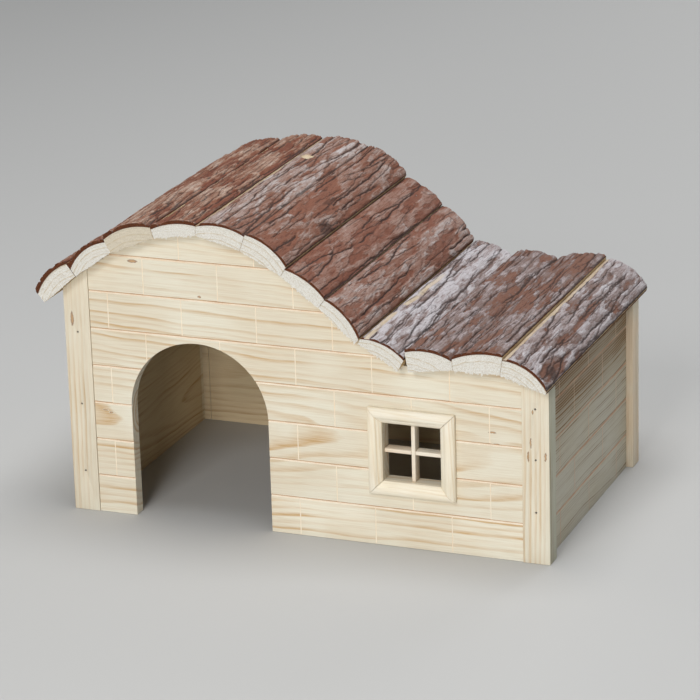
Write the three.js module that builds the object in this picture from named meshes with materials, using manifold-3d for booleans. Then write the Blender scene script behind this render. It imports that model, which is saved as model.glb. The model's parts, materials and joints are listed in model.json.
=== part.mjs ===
// A timber house for a small pet: four posts, four scored panels, an arched doorway, a four-pane
// window and a wavy roof of half-round slats that still carry their bark.
// Millimetres, +Z up. The front faces -Y. The model stands on Z = 0, centred on its own box.
import * as THREE from "three";
import { mergeVertices } from "three/addons/utils/BufferGeometryUtils.js";
import Module from "manifold-3d";

const wasm = await Module();
wasm.setup();

// Driving sizes. X runs from the left posts' outer face, Y from the front posts' front face.
const WIDTH = 480;
const DEPTH = 280;
const GAP = 0.3; // between pieces that touch

const POST = { width: 26, depth: 19 };
const PANEL = { front: 13, side: 12, recess: 1, sideInset: 7 };

// Scored lines that make each panel look like courses of short boards.
const COURSE = 37;
const SCORE = { line: 1.1, mark: 0.5 };
const FRONT_BOARDS = { firstLine: 37, length: 75.5, start: 45.5 };
const SIDE_BOARDS = { firstLine: 34.5, length: 87.5, start: 96 };

const DOOR = { centre: 135, radius: 70, springing: 109.5 };
const WINDOW = { centre: 348, height: 94, opening: 57, trim: 14 };
const BAR = { width: 3.6, depth: 11, setBack: 1.5 };

const ROOF = { startX: -13.4, startZ: 211.2, front: 13.5, back: 21, joint: 0.4 };

// Roof slats from left to right. Heights are the wood's thickness at its left edge, its middle and
// its right edge. step is the way from the last slat's lower right corner, where it isn't the joint.
const SLATS = [
  { width: 44.2, tilt: 40.5, heights: [9.6, 16.5, 14], bark: 4 },
  { width: 45.6, tilt: 35, heights: [7.7, 15.2, 10.7], bark: 3.6 },
  { width: 47.6, tilt: 22.5, heights: [13.5, 16.8, 9.6], bark: 3.6 },
  { width: 42.8, tilt: 8, heights: [7.9, 11.8, 8.3], bark: 3.6 },
  { width: 44.6, tilt: -14, heights: [8, 15.8, 14.2], bark: 2.6 },
  { width: 44.6, tilt: -28, heights: [16, 18, 10.2], bark: 2.6 },
  { width: 44.6, tilt: -37.5, heights: [7.3, 12.7, 10.6], bark: 2.6 },
  { width: 46.6, tilt: -41, heights: [9.9, 12, 4.8], bark: 2.6 },
  { width: 44.2, tilt: -29.5, heights: [5.2, 12.9, 11], bark: 2.4, step: [2.6, 0] },
  { width: 43.2, tilt: 8.5, heights: [19, 17.8, 7.9], bark: 3, step: [9.6, -1] },
  { width: 44.6, tilt: 0, heights: [10, 17, 16.5], bark: 3 },
  { width: 45.2, tilt: -18.6, heights: [13.6, 14.4, 2.3], bark: 2.6 },
];
const ARC_STEPS = 14;
const CROWN_PASSES = 24;

// Headless brads through each post into the end of the side panel behind it.
const BRAD = { radius: 0.8, length: 34, sunk: 0.4, sides: 10 };
const BRAD_HEIGHTS = { left: [40, 108, 180], right: [50, 101, 150] };

const MATERIALS = {
  panel: finish(0xdcc9a2, 0.75),
  post: finish(0xe0cda6, 0.72),
  moulding: finish(0xe8dcc0, 0.7),
  slatWood: finish(0xe9dcc2, 0.85),
  bark: finish(0x6b4436, 0.95),
  steel: finish(0x6d6a66, 0.45, 0.9),
};

function finish(color, roughness, metalness = 0) {
  return new THREE.MeshStandardMaterial({ color, roughness, metalness });
}

function mesh(name, geometry, material) {
  const made = new THREE.Mesh(geometry, material);
  made.name = name;
  return made;
}

// Booleans, by manifold-3d.
function toSolid(geometry) {
  const bare = new THREE.BufferGeometry();
  bare.setAttribute("position", geometry.getAttribute("position"));
  if (geometry.index) bare.setIndex(geometry.index);
  const merged = mergeVertices(bare, 1e-4);
  return new wasm.Manifold(
    new wasm.Mesh({
      numProp: 3,
      vertProperties: merged.attributes.position.array,
      triVerts: new Uint32Array(merged.index.array),
    }),
  );
}

function toGeometry(solid) {
  const { vertProperties, triVerts } = solid.getMesh();
  const made = new THREE.BufferGeometry();
  made.setAttribute("position", new THREE.BufferAttribute(vertProperties, 3));
  made.setIndex(new THREE.BufferAttribute(triVerts, 1));
  const flat = made.toNonIndexed();
  flat.computeVertexNormals();
  return flat;
}

function cut(geometry, tools) {
  const left = tools.reduce((solid, tool) => solid.subtract(toSolid(tool)), toSolid(geometry));
  return toGeometry(left);
}

// A prism whose section lies in X and Z, from y = from to y = to.
function prism(shape, from, to) {
  const made = new THREE.ExtrudeGeometry(shape, {
    depth: to - from,
    bevelEnabled: false,
    curveSegments: 24,
  });
  return made.rotateX(Math.PI / 2).translate(0, to, 0);
}

function box(x, y, z) {
  const made = new THREE.BoxGeometry(x[1] - x[0], y[1] - y[0], z[1] - z[0]);
  return made.translate((x[0] + x[1]) / 2, (y[0] + y[1]) / 2, (z[0] + z[1]) / 2);
}

// Where each slat lies: its lower left and lower right corners.
function laySlats() {
  let end = null;
  return SLATS.map((slat, i) => {
    const tilt = THREE.MathUtils.degToRad(slat.tilt);
    const along = new THREE.Vector2(Math.cos(tilt), Math.sin(tilt));
    const step = new THREE.Vector2(...(slat.step ?? [ROOF.joint, 0]));
    const start = end ? end.clone().add(step) : new THREE.Vector2(ROOF.startX, ROOF.startZ);
    end = start.clone().addScaledVector(along, slat.width);
    const leans = { leanLeft: lean(SLATS[i - 1], slat), leanRight: lean(slat, SLATS[i + 1]) };
    return { ...slat, ...leans, tilt, start, end: end.clone() };
  });
}

const LAID = laySlats();
const ROOF_LINE = LAID.flatMap((slat) => [slat.start, slat.end]);

// Height of the slats' undersides above a place along the front.
function roofHeight(x) {
  const next = ROOF_LINE.findIndex((corner) => corner.x >= x);
  const [a, b] = [ROOF_LINE[next - 1], ROOF_LINE[next]];
  return THREE.MathUtils.mapLinear(x, a.x, b.x, a.y, b.y);
}

// The top edge of a piece under the roof, from left to right.
function topEdge(left, right) {
  const inside = ROOF_LINE.filter((corner) => corner.x > left && corner.x < right);
  const ends = [left, right].map((x) => new THREE.Vector2(x, roofHeight(x)));
  return [ends[0], ...inside, ends[1]].map((p) => new THREE.Vector2(p.x, p.y - GAP));
}

// The outline of a piece that stands on the ground and reaches up to the roof.
function standingShape(left, right, doorway = false) {
  const shape = new THREE.Shape();
  shape.moveTo(left, 0);
  if (doorway) {
    shape.lineTo(DOOR.centre - DOOR.radius, 0);
    shape.lineTo(DOOR.centre - DOOR.radius, DOOR.springing);
    shape.absarc(DOOR.centre, DOOR.springing, DOOR.radius, Math.PI, 0, true);
    shape.lineTo(DOOR.centre + DOOR.radius, 0);
  }
  shape.lineTo(right, 0);
  topEdge(left, right)
    .reverse()
    .forEach((p) => shape.lineTo(p.x, p.y));
  shape.closePath();
  return shape;
}

function windowHole() {
  const half = WINDOW.opening / 2;
  const hole = new THREE.Path();
  hole.moveTo(WINDOW.centre - half, WINDOW.height - half);
  hole.lineTo(WINDOW.centre - half, WINDOW.height + half);
  hole.lineTo(WINDOW.centre + half, WINDOW.height + half);
  hole.lineTo(WINDOW.centre + half, WINDOW.height - half);
  hole.closePath();
  return hole;
}

// V-shaped cutters for one face: a line at each course, and marks between lines, staggered by half
// a board from one course to the next. The cutters run along X, at y = 0, and up from z = 0.
function scoreCutters(boards, length, height) {
  const bar = (size, depth) => new THREE.BoxGeometry(...size.map((s) => s ?? depth * Math.SQRT2));
  const tools = [];
  for (let row = 0; boards.firstLine + (row - 1) * COURSE < height; row++) {
    const top = boards.firstLine + row * COURSE;
    const line = bar([length + 2, null, null], SCORE.line).rotateX(Math.PI / 4);
    tools.push(line.translate(length / 2, 0, top));
    const stagger = row % 2 ? 0 : boards.length / 2;
    const first = (boards.start + stagger) % boards.length;
    for (let x = first; x < length - COURSE / 4; x += boards.length) {
      const mark = bar([null, null, COURSE - 2 * SCORE.line], SCORE.mark).rotateZ(Math.PI / 4);
      tools.push(mark.translate(x, 0, top - COURSE / 2));
    }
  }
  return tools;
}

function frontAndBackWalls() {
  const [left, right] = [POST.width + GAP, WIDTH - POST.width - GAP];
  const frontFace = PANEL.recess;
  const backFace = DEPTH - PANEL.recess;
  const cutters = (y) =>
    scoreCutters(FRONT_BOARDS, WIDTH, roofHeight(LAID[4].start.x)).map((t) => t.translate(0, y, 0));
  const frontShape = standingShape(left, right, true);
  frontShape.holes.push(windowHole());
  const front = prism(frontShape, frontFace, frontFace + PANEL.front);
  const back = prism(standingShape(left, right), backFace - PANEL.front, backFace);
  return [
    mesh("front_wall", cut(front, cutters(frontFace)), MATERIALS.panel),
    mesh("back_wall", cut(back, cutters(backFace)), MATERIALS.panel),
  ];
}

function sideWall(name, outerFace, innerFace, bradHoles) {
  const [low, high] = [outerFace, innerFace].sort((a, b) => a - b);
  const panel = prism(standingShape(low, high), POST.depth + GAP, DEPTH - POST.depth - GAP);
  const cutters = scoreCutters(SIDE_BOARDS, DEPTH, roofHeight(outerFace)).map((tool) =>
    tool.rotateZ(Math.PI / 2).translate(outerFace, 0, 0),
  );
  return mesh(name, cut(panel, [...cutters, ...bradHoles]), MATERIALS.panel);
}

function post(name, left, front, tools) {
  const block = prism(standingShape(left, left + POST.width), front, front + POST.depth);
  return mesh(name, cut(block, tools), MATERIALS.post);
}

// Cuts away a post's inner corner, so that the panels' inner faces run on and meet.
function innerCorner(side, end) {
  const width = POST.width - PANEL.sideInset - PANEL.side + 1;
  const depth = POST.depth - PANEL.recess - PANEL.front + 1;
  const [x, y] = [POST.width + 1 - width / 2, POST.depth + 1 - depth / 2];
  return new THREE.BoxGeometry(width, depth, 900).translate(
    side === "left" ? x : WIDTH - x,
    end === "front" ? y : DEPTH - y,
    0,
  );
}

// A brad or its hole, along Y from the face at y = face.
function bradShape(x, z, face, inward, radius, length) {
  const pin = new THREE.CylinderGeometry(radius, radius, length, BRAD.sides);
  return pin.translate(x, face + (inward * length) / 2, z);
}

// The corners: posts, side walls and the brads that hold them together.
function corners() {
  const made = [];
  for (const side of ["left", "right"]) {
    const outer = side === "left" ? PANEL.sideInset : WIDTH - PANEL.sideInset;
    const inner = side === "left" ? outer + PANEL.side : outer - PANEL.side;
    const line = (outer + inner) / 2;
    const postLeft = side === "left" ? 0 : WIDTH - POST.width;
    const wallHoles = [];
    for (const end of ["front", "back"]) {
      const face = end === "front" ? 0 : DEPTH;
      const inward = end === "front" ? 1 : -1;
      const holes = BRAD_HEIGHTS[side].map((z) =>
        bradShape(line, z, face - inward, inward, BRAD.radius + GAP, BRAD.length + 2),
      );
      wallHoles.push(...holes);
      const postFront = end === "front" ? 0 : DEPTH - POST.depth;
      const tools = [...holes, innerCorner(side, end)];
      made.push(post(end + "_" + side + "_post", postLeft, postFront, tools));
      BRAD_HEIGHTS[side].forEach((z, i) => {
        const at = face + inward * BRAD.sunk;
        const pin = bradShape(line, z, at, inward, BRAD.radius, BRAD.length);
        made.push(mesh(end + "_" + side + "_brad_" + (i + 1), pin, MATERIALS.steel));
      });
    }
    made.push(sideWall(side + "_wall", outer, inner, wallHoles));
  }
  return made;
}

// One length of window moulding, above the opening: a flat inner edge, a quirk and a round back,
// mitred at both ends. The window's centre is the origin.
function mouldingGeometry() {
  const half = WINDOW.opening / 2;
  const outer = half + WINDOW.trim;
  const section = new THREE.Shape();
  section.moveTo(half, 0);
  section.lineTo(outer, 0);
  section.lineTo(outer, 3.4);
  section.quadraticCurveTo(outer - 1.2, 6.6, half + 8.2, 7.6);
  section.quadraticCurveTo(half + 5.4, 7.7, half + 4.6, 6.2);
  section.lineTo(half + 4.2, 5.8);
  section.quadraticCurveTo(half + 2, 5.4, half, 3.2);
  section.closePath();
  const bar = new THREE.ExtrudeGeometry(section, {
    depth: 2 * outer,
    bevelEnabled: false,
    curveSegments: 6,
  });
  // The section's first axis points up and its second out of the wall.
  const turn = new THREE.Matrix4().makeBasis(
    new THREE.Vector3(0, 0, 1),
    new THREE.Vector3(0, -1, 0),
    new THREE.Vector3(1, 0, 0),
  );
  bar.applyMatrix4(turn).translate(-outer, 0, 0);
  const mitre = GAP / 2;
  const solid = toSolid(bar)
    .trimByPlane([-Math.SQRT1_2, 0, Math.SQRT1_2], mitre)
    .trimByPlane([Math.SQRT1_2, 0, Math.SQRT1_2], mitre);
  return toGeometry(solid);
}

// A window bar that runs up, with half its depth cut away where the other bar crosses it.
function barGeometry(notchAtFront) {
  const half = WINDOW.opening / 2 - GAP;
  const wide = BAR.width / 2;
  const bar = box([-wide, wide], [0, BAR.depth], [-half, half]);
  const middle = BAR.depth / 2;
  const span = notchAtFront ? [-1, middle + GAP / 2] : [middle - GAP / 2, BAR.depth + 1];
  return cut(bar, [box([-wide - 1, wide + 1], span, [-wide - GAP, wide + GAP])]);
}

function windowFrame() {
  const frame = new THREE.Group();
  frame.position.set(WINDOW.centre, PANEL.recess, WINDOW.height);
  const moulding = mouldingGeometry();
  ["top", "right", "bottom", "left"].forEach((name, quarter) => {
    const piece = mesh("window_trim_" + name, moulding, MATERIALS.moulding);
    piece.position.y = -GAP;
    piece.rotation.y = (quarter * Math.PI) / 2;
    frame.add(piece);
  });
  const upright = mesh("window_bar_upright", barGeometry(false), MATERIALS.moulding);
  const level = mesh("window_bar_level", barGeometry(true), MATERIALS.moulding);
  level.rotation.y = Math.PI / 2;
  [upright, level].forEach((bar) => (bar.position.y = BAR.setBack));
  frame.add(upright, level);
  return frame;
}

// How far a side leans outwards for each millimetre of height, so that it meets its neighbour's
// halfway where the roof bends down between two slats.
function lean(slat, next) {
  if (!slat || !next) return 0;
  return Math.max(0, Math.tan(THREE.MathUtils.degToRad((slat.tilt - next.tilt) / 2)));
}

// The place at a share of the way from a slat's left side to its right, at a height.
function acrossSlat(slat, share, height) {
  const left = -slat.leanLeft * height;
  const right = slat.width + slat.leanRight * height;
  return THREE.MathUtils.lerp(left, right, share);
}

// The circle through the tops of a slat's left side, middle and right side.
function crownCircle(slat) {
  const [a, b, c] = slat.heights.map(
    (height, i) => new THREE.Vector2(acrossSlat(slat, i / 2, height), height),
  );
  const area = 2 * (a.x * (b.y - c.y) + b.x * (c.y - a.y) + c.x * (a.y - b.y));
  const [aa, bb, cc] = [a, b, c].map((p) => p.lengthSq());
  const centre = new THREE.Vector2(
    (aa * (b.y - c.y) + bb * (c.y - a.y) + cc * (a.y - b.y)) / area,
    (aa * (c.x - b.x) + bb * (a.x - c.x) + cc * (b.x - a.x)) / area,
  );
  return { centre, radius: centre.distanceTo(a) };
}

// The crown's points from the left side to the right, moved outwards by offset.
function crown(slat, offset) {
  const { centre, radius } = crownCircle(slat);
  const points = [];
  for (let i = 0; i <= ARC_STEPS; i++) {
    const point = new THREE.Vector2(0, slat.heights[1]);
    for (let pass = 0; pass < CROWN_PASSES; pass++) {
      point.x = acrossSlat(slat, i / ARC_STEPS, point.y);
      point.y = centre.y + Math.sqrt((radius + offset) ** 2 - (point.x - centre.x) ** 2);
    }
    points.push(point);
  }
  return points;
}

function slatGroup(slat, index) {
  const name = String(index + 1).padStart(2, "0");
  const wood = [new THREE.Vector2(slat.width, 0), ...crown(slat, 0).reverse(), new THREE.Vector2(0, 0)];
  const bark = [...crown(slat, GAP), ...crown(slat, GAP + slat.bark).reverse()];
  const [front, back] = [-ROOF.front, DEPTH + ROOF.back];
  const group = new THREE.Group();
  group.position.set(slat.start.x, 0, slat.start.y);
  group.rotation.y = -slat.tilt;
  group.add(mesh("roof_slat_" + name, prism(new THREE.Shape(wood), front, back), MATERIALS.slatWood));
  group.add(mesh("roof_bark_" + name, prism(new THREE.Shape(bark), front, back), MATERIALS.bark));
  return group;
}

const house = new THREE.Group();
house.add(...frontAndBackWalls(), ...corners(), windowFrame(), ...LAID.map(slatGroup));

const middle = new THREE.Box3().setFromObject(house, true).getCenter(new THREE.Vector3());
house.position.set(-middle.x, -middle.y, 0);

const root = new THREE.Group();
root.add(house);
export default root;
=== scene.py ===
"""Looks of a small timber house for a pet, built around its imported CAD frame.

Four corner posts and four scored pine panels carry a wavy roof of half-round slats that still wear
their bark. The front has an arched doorway and a four-pane window in a mitred moulding.

The house's own sizes are in millimetres: X runs from the left posts' outer face, Y from the front
posts' front face, Z up from the ground.
"""

import json
import logging
import math
from dataclasses import dataclass, field
from enum import Enum, IntEnum

import bmesh
import bpy
import numpy as np
from mathutils import Matrix, Vector

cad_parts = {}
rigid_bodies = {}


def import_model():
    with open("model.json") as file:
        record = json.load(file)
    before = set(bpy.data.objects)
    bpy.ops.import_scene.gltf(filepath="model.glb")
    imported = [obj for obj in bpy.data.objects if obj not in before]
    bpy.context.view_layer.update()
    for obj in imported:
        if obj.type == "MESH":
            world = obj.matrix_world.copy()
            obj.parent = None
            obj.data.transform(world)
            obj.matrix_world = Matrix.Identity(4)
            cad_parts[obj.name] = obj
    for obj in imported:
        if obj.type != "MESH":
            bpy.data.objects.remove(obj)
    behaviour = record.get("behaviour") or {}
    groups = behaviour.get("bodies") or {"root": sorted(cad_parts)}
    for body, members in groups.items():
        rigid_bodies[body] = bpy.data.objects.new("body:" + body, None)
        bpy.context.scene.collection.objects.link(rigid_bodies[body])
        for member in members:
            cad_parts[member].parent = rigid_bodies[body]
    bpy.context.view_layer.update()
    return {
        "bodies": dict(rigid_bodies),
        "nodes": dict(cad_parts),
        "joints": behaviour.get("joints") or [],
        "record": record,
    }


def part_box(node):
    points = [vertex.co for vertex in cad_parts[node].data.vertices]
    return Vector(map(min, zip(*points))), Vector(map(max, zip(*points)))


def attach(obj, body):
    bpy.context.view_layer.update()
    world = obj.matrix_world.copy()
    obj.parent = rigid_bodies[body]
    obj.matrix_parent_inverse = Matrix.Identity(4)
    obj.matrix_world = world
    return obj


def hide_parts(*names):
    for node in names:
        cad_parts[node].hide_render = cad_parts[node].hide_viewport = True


LOG = logging.getLogger("house")
MM = 0.001
CROWN_PASSES = 12  # enough for the crown's places to settle
LOG_STEP = 700  # how far apart along the grain two slats' patterns are taken, in millimetres
FLAT = 0.95  # a face whose normal passes this along an axis lies square to it
LEANING = 0.3  # and one that passes only this leans that way
Colour = tuple[float, float, float]
Places = np.ndarray | float
Socket = bpy.types.NodeSocket


def shade(red: int, green: int, blue: int) -> Colour:
    """Turns a colour as seen on a screen, 0 to 255, into the linear values a shader takes.

    Args:
        red: Red, 0 to 255.
        green: Green, 0 to 255.
        blue: Blue, 0 to 255.

    Returns:
        The linear colour.
    """
    return tuple(((c / 255 + 0.055) / 1.055) ** 2.4 if c > 10 else c / 3294 for c in (red, green, blue))


# ----------------------------------------------------------------------------------------------
# Steady noise for shapes
# ----------------------------------------------------------------------------------------------


MIX_ACROSS, MIX_ALONG, MIX_SEED = 374761393, 668265263, 144269504
MIX_FIRST, MIX_SECOND = 1274126177, 1103515245
LOW_BITS, LOWEST_BITS = 0x7FFFFFFF, 0xFFFF
OCTAVE_STEP = 2.03  # how much finer each size of bump is than the one before
OCTAVE_SHIFT = 17.3  # keeps the sizes' patterns apart


def scatter(across: np.ndarray, along: np.ndarray, seed: int) -> np.ndarray:
    """Gives each whole-number place its own steady random number.

    Args:
        across: Whole numbers.
        along: Whole numbers.
        seed: Picks another set of numbers.

    Returns:
        Numbers from 0 to 1.
    """
    whole_across, whole_along = across.astype(np.int64), along.astype(np.int64)
    n = (whole_across * MIX_ACROSS + whole_along * MIX_ALONG + seed * MIX_SEED) & LOW_BITS
    n = ((n ^ (n >> 13)) * MIX_FIRST) & LOW_BITS
    n = ((n ^ (n >> 11)) * MIX_SECOND) & LOW_BITS
    return ((n >> 8) & LOWEST_BITS) / float(LOWEST_BITS)


def soft_noise(across: np.ndarray, along: np.ndarray, seed: int) -> np.ndarray:
    """Smooth noise with bumps one unit wide.

    Args:
        across: Places.
        along: Places.
        seed: Picks another pattern.

    Returns:
        Numbers from 0 to 1.
    """
    whole_a, whole_b = np.floor(across), np.floor(along)
    a, b = across - whole_a, along - whole_b
    a, b = a * a * (3 - 2 * a), b * b * (3 - 2 * b)
    near = scatter(whole_a, whole_b, seed) * (1 - a) + scatter(whole_a + 1, whole_b, seed) * a
    far = scatter(whole_a, whole_b + 1, seed) * (1 - a) + scatter(whole_a + 1, whole_b + 1, seed) * a
    return near * (1 - b) + far * b


def rough_noise(across: np.ndarray, along: np.ndarray, seed: int, octaves: int = 4) -> np.ndarray:
    """Noise with finer and finer bumps laid over each other.

    Args:
        across: Places.
        along: Places.
        seed: Picks another pattern.
        octaves: How many sizes of bump.

    Returns:
        Numbers from about 0 to 1.
    """
    total, share, whole = 0.0, 1.0, 0.0
    for octave in range(octaves):
        step = OCTAVE_STEP**octave
        total = total + share * soft_noise(across * step + OCTAVE_SHIFT * octave, along * step, seed + octave)
        whole += share
        share *= 0.5
    return total / whole


def cells(across: np.ndarray, along: np.ndarray, seed: int) -> tuple[np.ndarray, np.ndarray, np.ndarray]:
    """Splits the plane into irregular cells, about one to each unit square.

    Args:
        across: Places.
        along: Places.
        seed: Picks another pattern.

    Returns:
        How far each place is inside its cell, its cell's own number from 0 to 1, and how far along
        the cell it is, from about -1 to 1.
    """
    whole_a, whole_b = np.floor(across), np.floor(along)
    first = np.full(across.shape, 9.0)
    second = np.full(across.shape, 9.0)
    number = np.zeros(across.shape)
    reach = np.zeros(across.shape)
    for da in (-1, 0, 1):
        for db in (-1, 0, 1):
            ca, cb = whole_a + da, whole_b + db
            to_a = ca + scatter(ca, cb, seed) - across
            to_b = cb + scatter(ca, cb, seed + 7) - along
            distance = np.hypot(to_a, to_b)
            nearer = distance < first
            second = np.where(nearer, first, np.minimum(second, distance))
            number = np.where(nearer, scatter(ca, cb, seed + 13), number)
            reach = np.where(nearer, -to_b, reach)
            first = np.where(nearer, distance, first)
    return second - first, number, reach


def ease(low: float, high: float, value: np.ndarray) -> np.ndarray:
    """Rises smoothly from 0 at low to 1 at high.

    Args:
        low: Where the rise starts.
        high: Where it ends.
        value: The numbers to ease.

    Returns:
        Numbers from 0 to 1.
    """
    t = np.clip((value - low) / (high - low), 0, 1)
    return t * t * (3 - 2 * t)


# ----------------------------------------------------------------------------------------------
# Finishes
# ----------------------------------------------------------------------------------------------


class Sheet:
    """A material's node tree, with a short call for each node the finishes need."""

    def __init__(self, name: str) -> None:
        """Starts a material with a Principled shader and its output.

        Args:
            name: The material's name.
        """
        self.material = bpy.data.materials.new(name)
        self.material.use_nodes = True
        self.tree = self.material.node_tree
        self.tree.nodes.clear()
        self.shader = self.tree.nodes.new("ShaderNodeBsdfPrincipled")
        output = self.tree.nodes.new("ShaderNodeOutputMaterial")
        self.tree.links.new(self.shader.outputs[0], output.inputs["Surface"])

    def node(self, kind: str, inputs: dict, **settings: object) -> bpy.types.Node:
        """Adds a node.

        Args:
            kind: The node's type.
            inputs: A socket or a value for each input, by name or number.
            settings: The node's own settings.

        Returns:
            The node.
        """
        made = self.tree.nodes.new(kind)
        for key, value in settings.items():
            setattr(made, key, value)
        for key, value in inputs.items():
            if isinstance(value, Socket):
                self.tree.links.new(value, made.inputs[key])
            else:
                made.inputs[key].default_value = value
        return made

    def place(self) -> Socket:
        """Gives the place on the piece, in millimetres in the frame."""
        coordinates = self.node("ShaderNodeTexCoord", {}).outputs["Object"]
        return self.stretch(coordinates, (1000, 1000, 1000))

    def stretch(self, vector: Socket, scale: Colour, shift: Colour = (0, 0, 0)) -> Socket:
        """Scales and moves a place."""
        inputs = {"Vector": vector, "Location": shift, "Scale": scale}
        return self.node("ShaderNodeMapping", inputs).outputs[0]

    def attribute(self, name: str) -> bpy.types.Node:
        """Reads an attribute of the piece's own mesh."""
        return self.node("ShaderNodeAttribute", {}, attribute_name=name)

    def split(self, vector: Socket) -> list[Socket]:
        """Splits a vector or a colour into its three numbers."""
        return list(self.node("ShaderNodeSeparateXYZ", {0: vector}).outputs)

    def noise(
        self, vector: Socket, scale: float, detail: float = 3, rough: float = 0.5, warp: float = 0
    ) -> bpy.types.Node:
        """Adds a noise texture."""
        inputs = {"Vector": vector, "Scale": scale, "Detail": detail, "Roughness": rough, "Distortion": warp}
        return self.node("ShaderNodeTexNoise", inputs)

    def chance(self, number: Socket) -> Socket:
        """Gives each whole number a random number of its own, from 0 to 1."""
        made = self.node("ShaderNodeTexWhiteNoise", {"W": number}, noise_dimensions="1D")
        return made.outputs["Value"]

    def maths(self, operation: str, a: object, b: object = 0.0, c: object = 0.0) -> Socket:
        """Adds a sum on numbers."""
        return self.node("ShaderNodeMath", {0: a, 1: b, 2: c}, operation=operation).outputs[0]

    def length(self, a: Socket, b: Socket) -> Socket:
        """Gives the length of the arrow with these two parts."""
        squares = self.maths("ADD", self.maths("MULTIPLY", a, a), self.maths("MULTIPLY", b, b))
        return self.maths("POWER", squares, 0.5)

    def add_vectors(self, a: Socket, b: Socket, share: float) -> Socket:
        """Adds share times vector b to vector a."""
        inputs = {0: b, 1: (share, share, share), 2: a}
        return self.node("ShaderNodeVectorMath", inputs, operation="MULTIPLY_ADD").outputs[0]

    def fit(self, value: Socket, low: float, high: float, to_low: float = 0, to_high: float = 1) -> Socket:
        """Fits a number from one range into another, and keeps it there."""
        inputs = {"Value": value, "From Min": low, "From Max": high, "To Min": to_low, "To Max": to_high}
        return self.node("ShaderNodeMapRange", inputs, interpolation_type="SMOOTHSTEP").outputs[0]

    def ramp(self, value: Socket, stops: list[tuple[float, Colour | float]]) -> Socket:
        """Turns a number into a colour.

        Args:
            value: The number.
            stops: Each stop's place and its colour or grey, in order.

        Returns:
            The colour.
        """
        made = self.node("ShaderNodeValToRGB", {0: value})
        elements = made.color_ramp.elements
        while len(elements) < len(stops):
            elements.new(0.5)
        for element, (place, colour) in zip(elements, stops):
            element.position = place
            element.color = (*colour, 1) if isinstance(colour, tuple) else (colour, colour, colour, 1)
        return made.outputs[0]

    def mix(self, share: object, a: object, b: object, blend: str = "MIX") -> Socket:
        """Mixes two colours."""
        made = self.node("ShaderNodeMix", {0: share}, data_type="RGBA", blend_type=blend)
        for key, value in ((6, a), (7, b)):
            if isinstance(value, Socket):
                self.tree.links.new(value, made.inputs[key])
            else:
                made.inputs[key].default_value = (*value, 1)
        return made.outputs[2]

    def finish(
        self, colour: Socket, roughness: object, height: Socket, depth: float, gloss: float
    ) -> bpy.types.Material:
        """Joins colour, roughness and relief to the shader.

        Args:
            colour: The surface's colour.
            roughness: A socket or a number.
            height: The relief, 0 to 1.
            depth: How deep the relief is, in millimetres.
            gloss: How strongly the surface mirrors light.

        Returns:
            The material.
        """
        inputs = {"Strength": 1.0, "Distance": depth * MM, "Height": height}
        normal = self.node("ShaderNodeBump", inputs).outputs[0]
        self.tree.links.new(colour, self.shader.inputs["Base Color"])
        self.tree.links.new(normal, self.shader.inputs["Normal"])
        self.shader.inputs["Specular IOR Level"].default_value = gloss
        if isinstance(roughness, Socket):
            self.tree.links.new(roughness, self.shader.inputs["Roughness"])
        else:
            self.shader.inputs["Roughness"].default_value = roughness
        return self.material


class Grain(Enum):
    """Which way the fibres run, with the order of axes: along, across, through."""

    ALONG_X = (0, 2, 1)
    ALONG_Y = (1, 2, 0)
    ALONG_Z = (2, 0, 1)


@dataclass(frozen=True)
class Knot:
    """A small knot on a pine face, in the frame's millimetres along and across the grain."""

    along: float
    across: float
    radius: float
    slender: float = 2.4  # how many times longer than wide it is


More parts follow.
